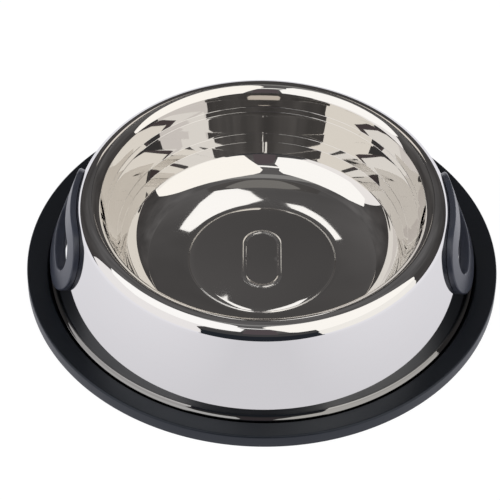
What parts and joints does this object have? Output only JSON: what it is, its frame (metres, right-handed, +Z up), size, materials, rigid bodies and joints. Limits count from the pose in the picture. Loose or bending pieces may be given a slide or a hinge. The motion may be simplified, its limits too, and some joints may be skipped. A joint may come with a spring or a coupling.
{
  "type": "pet bowl",
  "caption": "Round no-spill steel pet bowl: a ridged pan in a sloping mirror skirt with a lined hand hole on each side, standing in a wide flat rubber ring.",
  "frame": {"origin": "centre of the base ring's sole, on the floor", "axes": "+Z up out of the bowl, X through the two hand holes"},
  "size_m": [0.25, 0.25, 0.0535],
  "materials": {
    "polished_steel": "mirror polished",
    "brushed_steel": "polished, with fine turned lines",
    "rubber": "matt black",
    "bezel_plastic": "satin, dark grey",
    "retainer_plastic": "matt, dark grey"
  },
  "bodies": {
    "root": {"base_ring": "rubber", "outer_skirt": "polished_steel", "bowl_pan": "brushed_steel", "right_grip_bezel": "bezel_plastic", "right_grip_retainer": "retainer_plastic", "left_grip_bezel": "bezel_plastic", "left_grip_retainer": "retainer_plastic"}
  },
  "joints": []
}
